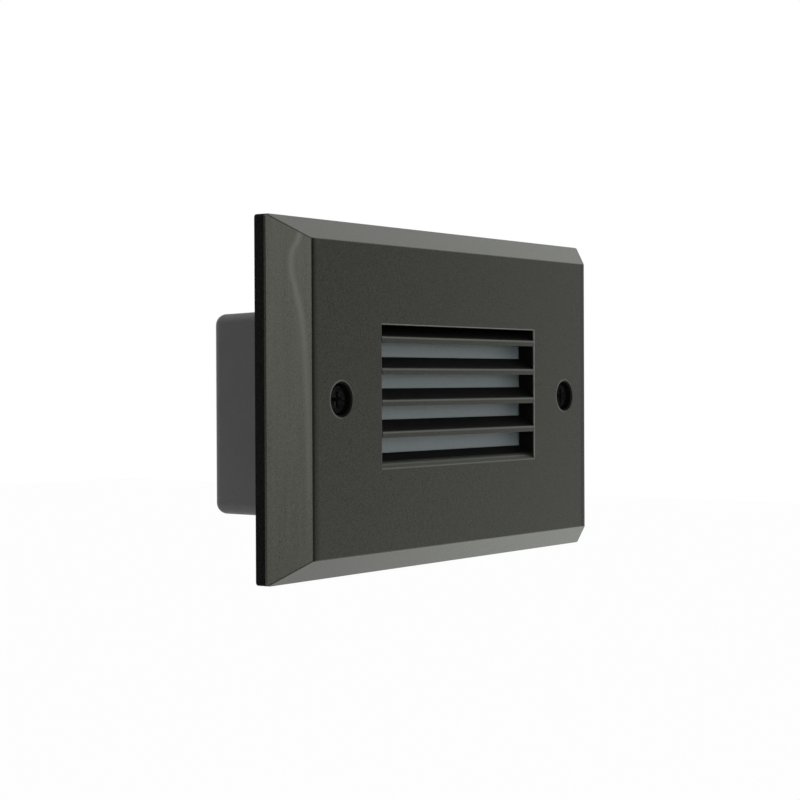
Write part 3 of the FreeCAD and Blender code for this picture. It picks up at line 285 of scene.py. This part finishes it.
class PlateCoat(Shader):
    """The powder coat's shader, with outputs that say where on the plate a spot lies."""

    def __init__(self):
        super().__init__("powder_coat", metallic=0.9)
        across, self.inward, self.upward = self.split(self.place)
        self.beside = self.magnitude(across)
        self.left_side = self.spread(across, 1.0, 0.0, -FACE_HALF_WIDTH, -FACE_HALF_WIDTH + EDGE_SOFT)
        self.find_bevels()
        self.find_openings()

    def find_bevels(self):
        """Each share runs over its bevel from 0 at the plate's rim to 1 at the face's edge."""
        self.side_share = self.maths("DIVIDE", self.minus(PLATE_HALF_WIDTH, self.beside), BEVEL_SIDE)
        from_top = self.minus(PLATE_HALF_HEIGHT, self.magnitude(self.upward))
        self.top_share = self.maths("DIVIDE", from_top, BEVEL_TOP)
        self.on_bevel = self.under(self.smaller(self.side_share, self.top_share), 1.0)
        self.in_face = self.minus(1.0, self.on_bevel)
        self.from_edge = self.minus(FACE_HALF_WIDTH, self.beside)

    def find_openings(self):
        """How far a spot lies past the opening's edge, and past the rim of the well on its side."""
        past_side = self.minus(self.beside, OPENING_HALF_WIDTH)
        from_middle = self.magnitude(self.minus(self.upward, OPENING_MIDDLE))
        self.past_opening = self.larger(past_side, self.minus(from_middle, OPENING_HALF_HEIGHT))
        from_screw = self.minus(self.beside, SCREW_SIDE)
        squares = self.maths("ADD", self.times(from_screw, from_screw), self.times(self.upward, self.upward))
        self.past_well = self.minus(self.maths("SQRT", squares), WELL_RIM)
        self.past_lip = self.smaller(self.magnitude(self.past_opening), self.magnitude(self.past_well))
        self.outside = self.times(self.over(self.past_opening, 0.0), self.over(self.past_well, 0.0))

    def painted_bevel_reflection(self):
        """A painted reflection: a pale line that bows out near the top and runs down beside the face's edge.
        """
        curve = self.add("ShaderNodeFloatCurve")
        line = curve.mapping.curves[0]
        while len(line.points) < len(BEVEL_REFLECTION_PATH):
            line.points.new(0.5, 0.5)
        for point, spot in zip(line.points, BEVEL_REFLECTION_PATH):
            point.location = spot
        curve.mapping.update()
        along = self.spread(self.upward, 0.0, 1.0, -PLATE_HALF_HEIGHT, PLATE_HALF_HEIGHT)
        self.link(along, curve.inputs["Value"])
        away = self.magnitude(self.minus(self.side_share, curve.outputs["Value"]))
        strength = self.spread(self.upward, BEVEL_REFLECTION_FAINT, BEVEL_REFLECTION_PLAIN,
                               -BEVEL_REFLECTION_LEVEL, BEVEL_REFLECTION_LEVEL)
        return self.times(self.spread(away, 1.0, 0.0, 0.0, BEVEL_REFLECTION_WIDTH), strength)

    def bevel_marks(self, base):
        """Brush marks and a painted reflection on the left bevel, and dark lines along the mitres that are
        partly the coat and partly painted shade of the rounded edges.
        """
        brushed = self.spread(self.noise(900.0, 3.0, 0.6, stretch=(1.0, 1.0, 0.05)), 0.0, BRUSH_STRENGTH)
        base = self.mixed(self.times(self.left_side, brushed), base, BRUSHED_TONE)
        # painted reflection: a pale line on the left bevel
        bevel_reflection = self.times(self.painted_bevel_reflection(), self.under(self.side_share, self.top_share))
        base = self.mixed(self.times(self.left_side, bevel_reflection), base, BEVEL_REFLECTION_TONE)
        # dark mitre lines: partly the coat's own, partly painted shade of the rounded edges
        from_mitre = self.magnitude(self.minus(self.side_share, self.top_share))
        mitre = self.spread(from_mitre, MITRE_STRENGTH, 0.0, MITRE_WIDTH / 2, MITRE_WIDTH)
        return self.mixed(self.times(mitre, self.on_bevel), base, MITRE_TONE)

    def painted_highlights(self):
        """Where highlights are painted pale: the lips of the opening and the wells, and the blades' noses.
        """
        lips = self.times(self.outside, self.spread(self.past_lip, 1.0, 0.0, LIP_REACH / 2, LIP_REACH))
        which = self.spread(self.past_well, WELL_LIP_STRENGTH, OPENING_LIP_STRENGTH, 0.0, 2 * LIP_REACH)
        lips = self.times(self.times(lips, which), self.in_face)
        below_nose = self.repeated(self.minus(BLADE_TOP, self.upward), BLADE_PITCH)
        noses = self.spread(below_nose, 1.0, 0.0, NOSE_HIGHLIGHT_REACH / 2, NOSE_HIGHLIGHT_REACH)
        return self.larger(lips, self.times(self.under(self.past_opening, 0.0), noses))

    def edge_shade(self):
        """Painted shade at the face's two side edges: a dark line, and a shade that fades inwards from it.
        """
        reach = self.spread(self.upward, EDGE_FADE_FOOT, EDGE_FADE_TOP,
                            -PLATE_HALF_HEIGHT, PLATE_HALF_HEIGHT)
        fade = self.times(self.nearness(self.from_edge, reach, self.in_face), EDGE_FADE_STRENGTH)
        line = self.spread(self.from_edge, EDGE_LINE_STRENGTH, 0.0, EDGE_LINE / 2, EDGE_LINE)
        return self.larger(fade, self.times(line, self.in_face))

    def painted_recess_shade(self):
        """Where shade is painted: what lies behind the face above the sill's lip, and the whole of the screw
        wells.
        """
        depth = self.minus(self.inward, FACE_LEVEL)
        behind = self.times(self.spread(depth, 0.0, 1.0, RECESS_START, RECESS_FULL), self.in_face)
        behind = self.times(behind, self.over(self.upward, ABOVE_SILL))
        return self.larger(behind, self.under(self.past_well, 0.0))

    def rounded(self):
        """Lets the face's side edges and the lips catch the light as rounded edges do."""
        edge = self.nearness(self.from_edge, EDGE_LINE, self.in_face)
        lip = self.nearness(self.past_lip, LIP_REACH, self.outside)
        drop = self.times(self.maths("ADD", edge, lip), -1.0)
        return self.bump(drop, 1.0, LIP_REACH * ROUND_STEEPNESS)


def powder_coat():
    """Dark bronze coat with metal flakes and a sandy grain, with painted shade in the recesses and painted
    highlights on the lips and noses.
    """
    coat = PlateCoat()
    grain = coat.noise(3800.0, 2.0, 0.6)
    cloud = coat.noise(120.0, 3.0, 0.5)
    # where shade is painted in the recesses; the same mask also makes the coat rougher there
    shaded_recess = coat.painted_recess_shade()
    base = coat.two_tone(grain, COAT_DARK, COAT_LIGHT)
    base = coat.mixed(coat.spread(cloud, 0.0, CLOUD_STRENGTH), base, COAT_CLOUD)
    base = coat.bevel_marks(base)
    # painted highlights on the lips and the blades' noses
    base = coat.mixed(coat.times(coat.painted_highlights(), LIP_HIGHLIGHT_STRENGTH), base, LIP_HIGHLIGHT_TONE)
    # painted shade at the face's side edges
    base = coat.mixed(coat.edge_shade(), base, EDGE_SHADE_TONE)
    # painted shade in the recesses and screw wells
    coat.colour(coat.mixed(coat.times(shaded_recess, RECESS_SHADE_STRENGTH), base, RECESS_SHADE_TONE))
    coat.roughness(coat.maths("ADD", coat.spread(grain, 0.30, 0.44), coat.times(shaded_recess, RECESS_ROUGHNESS)))
    coat.bump(grain, 0.5, GRAIN_DEPTH, coat.rounded())
    return coat.material


def foam(name, shade):
    """Closed cells with dark pores, matte."""
    skin = Shader(name)
    pores = skin.cells(2400.0)
    skin.colour(skin.ramp(pores, [(0.1, tone(shade, 0.5)), (0.7, tone(shade, 1.5))]))
    skin.roughness(skin.spread(pores, 0.95, 0.8))
    skin.bump(pores, 0.5, 0.00012)
    skin.put("Specular IOR Level", 0.08)
    return skin.material


def moulded(name, shade, rough, grain, depth=0.00003, spread=0.12):
    """Plastic or rubber with a fine grain and a faint drift of its shade."""
    skin = Shader(name)
    fine = skin.noise(grain, 2.0, 0.5)
    wide = skin.noise(90.0, 3.0, 0.6)
    skin.colour(skin.two_tone(wide, tone(shade, 1.0 - spread), tone(shade, 1.0 + spread)))
    skin.roughness(skin.spread(fine, rough - 0.06, rough + 0.08))
    skin.bump(fine, 0.35, depth)
    return skin.material


def frosted():
    """Bluish see-through sheet with a fine haze."""
    pane = Shader("frosted_lens")
    haze = pane.noise(900.0, 2.0, 0.5)
    pane.colour(pane.two_tone(haze, (0.34, 0.395, 0.41), (0.375, 0.435, 0.45)))
    pane.roughness(pane.spread(haze, 0.32, 0.44))
    pane.bump(haze, 0.12, 0.00004)
    pane.put("Transmission Weight", 0.55)
    pane.put("IOR", 1.49)
    return pane.material


def metal(name, shade, rough, stretch, scale=700.0):
    """Bare metal with fine lines along the axis where the stretch is small."""
    skin = Shader(name, metallic=1.0)
    lines = skin.noise(scale, 3.0, 0.6, stretch)
    skin.colour(skin.two_tone(lines, tone(shade, 0.82), tone(shade, 1.1)))
    skin.roughness(skin.spread(lines, rough - 0.08, rough + 0.1))
    skin.bump(lines, 0.3, 0.00002)
    return skin.material


def dark_screw():
    """Near-black coat with a few smoother, lighter spots."""
    skin = Shader("dark_screw")
    worn = skin.noise(1700.0, 3.0, 0.6)
    skin.colour(skin.ramp(worn, [(0.5, grey(0.001)), (0.75, (0.011, 0.011, 0.0105))]))
    skin.roughness(skin.spread(worn, 0.85, 0.3, 0.45, 0.75))
    skin.bump(worn, 0.3, 0.00003)
    skin.put("Specular IOR Level", 0.1)
    return skin.material


def circuit(name, shade, trace):
    """Solder mask with the shadow of the tracks under it."""
    skin = Shader(name)
    lanes = skin.noise(160.0, 1.0, 0.5, stretch=(1.0, 1.0, 0.12))
    skin.colour(skin.ramp(lanes, [(0.46, shade), (0.5, trace), (0.54, shade)]))
    skin.roughness(skin.spread(lanes, 0.3, 0.42))
    skin.bump(lanes, 0.2, 0.00003)
    return skin.material


def phosphor():
    """Yellow powder in clear resin."""
    skin = Shader("led_phosphor")
    dust = skin.noise(3500.0, 2.0, 0.5)
    skin.colour(skin.two_tone(dust, (0.80, 0.55, 0.08), (0.92, 0.72, 0.20)))
    skin.roughness(skin.spread(dust, 0.3, 0.5))
    skin.bump(dust, 0.2, 0.00002)
    return skin.material


MATERIALS = {
    "faceplate": powder_coat(),
    "wall_gasket": foam("wall_foam", (0.0032, 0.0031, 0.0029)),
    "housing_gasket": foam("inner_foam", grey(0.007)),
    "lens_gasket": moulded("seal_rubber", grey(0.008), rough=0.7, grain=2600.0),
    "lens": frosted(),
    "back_housing": moulded("housing_plastic", (0.058, 0.058, 0.060), rough=0.5, grain=1500.0,
                            depth=0.00005, spread=0.08),
    "lead_grommet": moulded("grommet_rubber", grey(0.010), rough=0.65, grain=2200.0),
    "light_chamber": moulded("chamber_plastic", (0.80, 0.80, 0.78), rough=0.5, grain=1600.0),
    "led_board": circuit("light_board", shade=(0.72, 0.72, 0.70), trace=(0.60, 0.61, 0.60)),
    "leds": phosphor(),
    "heat_spreader": metal("rolled_sheet", (0.60, 0.61, 0.62), rough=0.38, stretch=(1.0, 1.0, 0.06)),
    "insulating_sheet": moulded("amber_film", (0.55, 0.30, 0.05), rough=0.3, grain=900.0),
    "driver_board": circuit("driver_board_mask", shade=(0.015, 0.11, 0.035), trace=(0.03, 0.17, 0.06)),
    "storage_capacitor": moulded("shrink_sleeve", (0.015, 0.016, 0.03), rough=0.3, grain=700.0),
    "transformer_core": moulded("ferrite", (0.035, 0.035, 0.037), rough=0.6, grain=2400.0),
    "transformer_coil": moulded("winding_tape", (0.62, 0.47, 0.05), rough=0.35, grain=800.0),
    "film_capacitor": moulded("capacitor_case", (0.55, 0.40, 0.04), rough=0.35, grain=1000.0),
    "bridge_rectifier": moulded("chip_epoxy", grey(0.016), rough=0.55, grain=2600.0),
    "fuse_resistor": moulded("resistor_coat", (0.10, 0.25, 0.20), rough=0.45, grain=1400.0),
    "varistor": moulded("varistor_coat", (0.05, 0.12, 0.34), rough=0.4, grain=1200.0),
    "led_lead_positive": moulded("red_insulation", (0.42, 0.02, 0.02), rough=0.35, grain=900.0),
    "led_lead_negative": moulded("black_insulation", grey(0.012), rough=0.35, grain=900.0),
    "left_face_screw": dark_screw(),
    "left_screw_seal": moulded("nylon", grey(0.035), rough=0.45, grain=1200.0),
    "housing_screws": metal("zinc_plate", (0.55, 0.55, 0.52), rough=0.33, stretch=(1.0, 1.0, 1.0),
                            scale=1600.0),
}
MATERIALS["driver_chip"] = MATERIALS["bridge_rectifier"]
MATERIALS["right_face_screw"] = MATERIALS["left_face_screw"]
MATERIALS["right_screw_seal"] = MATERIALS["left_screw_seal"]
for group in ("led_board_screws", "heat_spreader_screws", "driver_board_screws"):
    MATERIALS[group] = MATERIALS["housing_screws"]

for name, node in nodes.items():
    node.data.materials.clear()
    node.data.materials.append(MATERIALS[name])


# ---------------------------------------------------------------- face screws

HEAD_THICK = 0.0023
DOME_DROP = 0.0005
NECK_RADIUS = 0.0015
THREAD_RADIUS = 0.00175
ROOT_RADIUS = 0.00138
THREAD_PITCH = 0.0254 / 32
TIP_CHAMFER = 0.0005
ROUND_STEPS = 32
DOME_STEPS = 5
# share of the pitch and radius at each corner of the thread's profile
THREAD_PROFILE = ((0.0, ROOT_RADIUS), (0.25, ROOT_RADIUS), (0.55, THREAD_RADIUS), (0.7, THREAD_RADIUS))
# how far each arm of the cross reaches from the middle, and half its thickness
CROSS_MOUTH = (0.00165, 0.0004)
CROSS_FLOOR = (0.0007, 0.00025)
CROSS_DEPTH = 0.0015
# how far the root goes on behind the thread's last crest before its tip
ROOT_END = TIP_CHAMFER / 10
MERGE_REACH = 1e-7


def ring(shape, centre, radii, levels):
    """One turn of points, clockwise as seen from the front, so rising levels make a right-hand helix.

    The radii and the levels are each one number or a list with one for every step.
    """
    points = []
    for step in range(ROUND_STEPS):
        angle = -2 * math.pi * step / ROUND_STEPS
        radius = radii[step] if isinstance(radii, list) else radii
        level = levels[step] if isinstance(levels, list) else levels
        points.append(shape.verts.new((centre + radius * math.cos(angle), level, radius * math.sin(angle))))
    return points


def join(shape, first, second):
    """A band of faces between two closed loops of as many points."""
    for step in range(len(first)):
        after = (step + 1) % len(first)
        shape.faces.new((first[step], first[after], second[after], second[step]))


def placed(shape, name):
    """Turns the shape into an object of the scene."""
    mesh = bpy.data.meshes.new(name)
    shape.to_mesh(mesh)
    shape.free()
    thing = bpy.data.objects.new(name, mesh)
    scene.collection.objects.link(thing)
    return thing


def screw_rings(shape, centre, head_top, head_radius, tip):
    """The domed head, the neck, and a thread whose crests run along a helix."""
    seat = head_top + HEAD_THICK
    rings = []
    for step in range(DOME_STEPS + 1):
        turn = math.pi / 2 * step / DOME_STEPS
        rings.append(ring(shape, centre, head_radius - DOME_DROP * (1 - math.sin(turn)),
                          head_top + DOME_DROP * (1 - math.cos(turn))))
    for radius, level in ((head_radius, seat), (NECK_RADIUS, seat), (NECK_RADIUS, 0.0)):
        rings.append(ring(shape, centre, radius, level))
    end = tip - TIP_CHAMFER
    # each ring rises by one pitch over its turn, so the first that shows starts a turn early
    for turn in range(-1, math.ceil(end / THREAD_PITCH)):
        for share, radius in THREAD_PROFILE:
            levels = [(turn + share + step / ROUND_STEPS) * THREAD_PITCH for step in range(ROUND_STEPS)]
            if levels[-1] <= 0.0 or levels[0] >= end:
                continue
            radii = [radius if 0.0 < level < end else ROOT_RADIUS for level in levels]
            rings.append(ring(shape, centre, radii, [min(max(level, 0.0), end) for level in levels]))
    rings.append(ring(shape, centre, ROOT_RADIUS, end + ROOT_END))
    rings.append(ring(shape, centre, ROOT_RADIUS - TIP_CHAMFER, tip))
    return rings


def cross_cutter(centre, head_top):
    """A four-armed plug that narrows towards its end, as the driver's bit does."""
    shape = bmesh.new()
    loops = []
    for (reach, arm), level in ((CROSS_MOUTH, head_top - DOME_DROP), (CROSS_MOUTH, head_top),
                                (CROSS_FLOOR, head_top + CROSS_DEPTH)):
        corners = ((arm, reach), (arm, arm), (reach, arm), (reach, -arm), (arm, -arm), (arm, -reach),
                   (-arm, -reach), (-arm, -arm), (-reach, -arm), (-reach, arm), (-arm, arm), (-arm, reach))
        loops.append([shape.verts.new((centre + across, level, up)) for across, up in corners])
    for first, second in zip(loops, loops[1:]):
        join(shape, first, second)
    shape.faces.new(loops[0])
    shape.faces.new(loops[-1])
    bmesh.ops.recalc_face_normals(shape, faces=shape.faces)
    return placed(shape, "cross_cutter")


def threaded_screw(side):
    """Takes the place of one plain face screw, on the same body and within its box."""
    node = side + "_face_screw"
    low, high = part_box(node)
    centre = (low[0] + high[0]) / 2
    shape = bmesh.new()
    rings = screw_rings(shape, centre, low[1], (high[2] - low[2]) / 2, high[1])
    shape.faces.new(rings[0])
    for first, second in zip(rings, rings[1:]):
        join(shape, first, second)
    shape.faces.new(rings[-1])
    bmesh.ops.remove_doubles(shape, verts=shape.verts, dist=MERGE_REACH)
    bmesh.ops.dissolve_degenerate(shape, edges=shape.edges, dist=MERGE_REACH)
    bmesh.ops.recalc_face_normals(shape, faces=shape.faces)
    screw = placed(shape, side + "_threaded_screw")
    cutter = cross_cutter(centre, low[1])
    cut = screw.modifiers.new("cross", "BOOLEAN")
    cut.operation = "DIFFERENCE"
    cut.solver = "EXACT"
    cut.object = cutter
    bpy.context.view_layer.update()
    shaped = screw.evaluated_get(bpy.context.evaluated_depsgraph_get())
    screw.data = bpy.data.meshes.new_from_object(shaped)
    screw.modifiers.clear()
    bpy.data.objects.remove(cutter)
    screw.data.materials.clear()
    screw.data.materials.append(MATERIALS[node])
    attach(screw, side + "_screw")
    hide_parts(node)


for side in ("left", "right"):
    threaded_screw(side)


# ---------------------------------------------------------------- stage, light and camera

WHITE = (1.0, 1.0, 1.0)
FLOOR_LEVEL = -0.45
FLOOR_HALF_SIDE = 6.0
FLOOR_CELLS = 8
FLOOR_SHADE = grey(0.86)
FLOOR_GLOW = 0.97
# points from the camera's side to the far side, where the room is bright in gloss
BACKDROP_SIDE = (0.8, 0.6, 0.0)
ROOM_LIGHT = 0.55
ROOM_GLOSS = 0.23
ROOM_DARK_END = 0.12
ROOM_BRIGHT_END = 0.46

SIDE_TINT = (0.90, 1.0, 0.82)
# name, place, breadth and height, watts and colour; each points at the origin
LAMPS = (
    ("right_high_light", (0.74, -0.10, 0.51), (0.6, 0.6), 0.45, SIDE_TINT),
    ("right_low_light", (0.50, -0.07, -0.35), (0.35, 0.35), 0.35, SIDE_TINT),
    ("front_light", (-0.35, -0.75, 0.27), (0.6, 0.76), 3.3, WHITE),
    ("back_light", (-0.45, 0.30, 0.70), (0.4, 0.4), 2.0, WHITE),
)

# lens and sensor in millimetres, the turn in degrees
CAMERA_PLACE = (-0.3182247, -0.2221841, 0.0032060)
CAMERA_TURN = (89.44720, 0.25255, -54.15560)
CAMERA_LENS = 81.9598
CAMERA_SENSOR = 36.0
CAMERA_NEAR = 0.01
CAMERA_FAR = 50.0


def floor():
    """Paper far below the object that looks white to the camera and in gloss."""
    shape = bmesh.new()
    bmesh.ops.create_grid(shape, x_segments=FLOOR_CELLS, y_segments=FLOOR_CELLS, size=FLOOR_HALF_SIDE)
    sheet = placed(shape, "floor")
    sheet.location = (0.0, 0.0, FLOOR_LEVEL)
    paper = Shader("floor_paper")
    fleck = paper.noise(60.0, 2.0, 0.5)
    paper.colour(paper.two_tone(fleck, tone(FLOOR_SHADE, 0.985), FLOOR_SHADE))
    paper.put("Roughness", 0.8)
    path = paper.add("ShaderNodeLightPath")
    seen = paper.larger(path.outputs["Is Camera Ray"], path.outputs["Is Glossy Ray"])
    glow = paper.add("ShaderNodeEmission")
    glow.inputs["Color"].default_value = (*WHITE, 1.0)
    blend = paper.add("ShaderNodeMixShader")
    paper.link(paper.times(seen, FLOOR_GLOW), blend.inputs["Fac"])
    paper.link(paper.surface.outputs["BSDF"], blend.inputs[1])
    paper.link(glow.outputs["Emission"], blend.inputs[2])
    paper.link(blend.outputs["Shader"], paper.output.inputs["Surface"])
    sheet.data.materials.append(paper.material)


def world():
    """White to the camera and behind the object; the room on the camera's side is darker in gloss."""
    room = bpy.data.worlds.new("room")
    scene.world = room
    room.use_nodes = True
    tree = room.node_tree
    tree.nodes.clear()
    output = tree.nodes.new("ShaderNodeOutputWorld")
    path = tree.nodes.new("ShaderNodeLightPath")

    def background(strength):
        node = tree.nodes.new("ShaderNodeBackground")
        node.inputs["Color"].default_value = (*WHITE, 1.0)
        node.inputs["Strength"].default_value = strength
        return node

    def blend(share, first, second):
        node = tree.nodes.new("ShaderNodeMixShader")
        tree.links.new(share, node.inputs["Fac"])
        tree.links.new(first.outputs[0], node.inputs[1])
        tree.links.new(second.outputs[0], node.inputs[2])
        return node

    direction = tree.nodes.new("ShaderNodeTexCoord")
    facing = tree.nodes.new("ShaderNodeVectorMath")
    facing.operation = "DOT_PRODUCT"
    facing.inputs[1].default_value = BACKDROP_SIDE
    tree.links.new(direction.outputs["Generated"], facing.inputs[0])
    gloss = background(1.0)
    level = tree.nodes.new("ShaderNodeMapRange")
    level.interpolation_type = "SMOOTHSTEP"
    level.inputs["From Min"].default_value = ROOM_DARK_END
    level.inputs["From Max"].default_value = ROOM_BRIGHT_END
    level.inputs["To Min"].default_value = ROOM_GLOSS
    level.inputs["To Max"].default_value = 1.0
    tree.links.new(facing.outputs["Value"], level.inputs["Value"])
    tree.links.new(level.outputs["Result"], gloss.inputs["Strength"])
    clear = tree.nodes.new("ShaderNodeMath")
    clear.operation = "MAXIMUM"
    tree.links.new(path.outputs["Is Camera Ray"], clear.inputs[0])
    tree.links.new(path.outputs["Is Transmission Ray"], clear.inputs[1])
    shaded = blend(path.outputs["Is Glossy Ray"], background(ROOM_LIGHT), gloss)
    final = blend(clear.outputs["Value"], shaded, background(1.0))
    tree.links.new(final.outputs[0], output.inputs["Surface"])


def lamp(name, place, size, power, colour):
    data = bpy.data.lights.new(name, "AREA")
    data.shape = "RECTANGLE"
    data.size, data.size_y = size
    data.energy = power
    data.color = colour
    holder = bpy.data.objects.new(name, data)
    holder.location = place
    holder.rotation_euler = (-Vector(place)).to_track_quat("-Z", "Y").to_euler()
    holder.visible_camera = False
    scene.collection.objects.link(holder)


def camera():
    data = bpy.data.cameras.new("photo_camera")
    data.lens = CAMERA_LENS
    data.sensor_width = CAMERA_SENSOR
    data.clip_start = CAMERA_NEAR
    data.clip_end = CAMERA_FAR
    holder = bpy.data.objects.new("photo_camera", data)
    holder.location = CAMERA_PLACE
    holder.rotation_euler = tuple(math.radians(angle) for angle in CAMERA_TURN)
    scene.collection.objects.link(holder)
    scene.camera = holder


floor()
world()
for settings in LAMPS:
    lamp(*settings)
camera()
scene.view_settings.view_transform = "Standard"
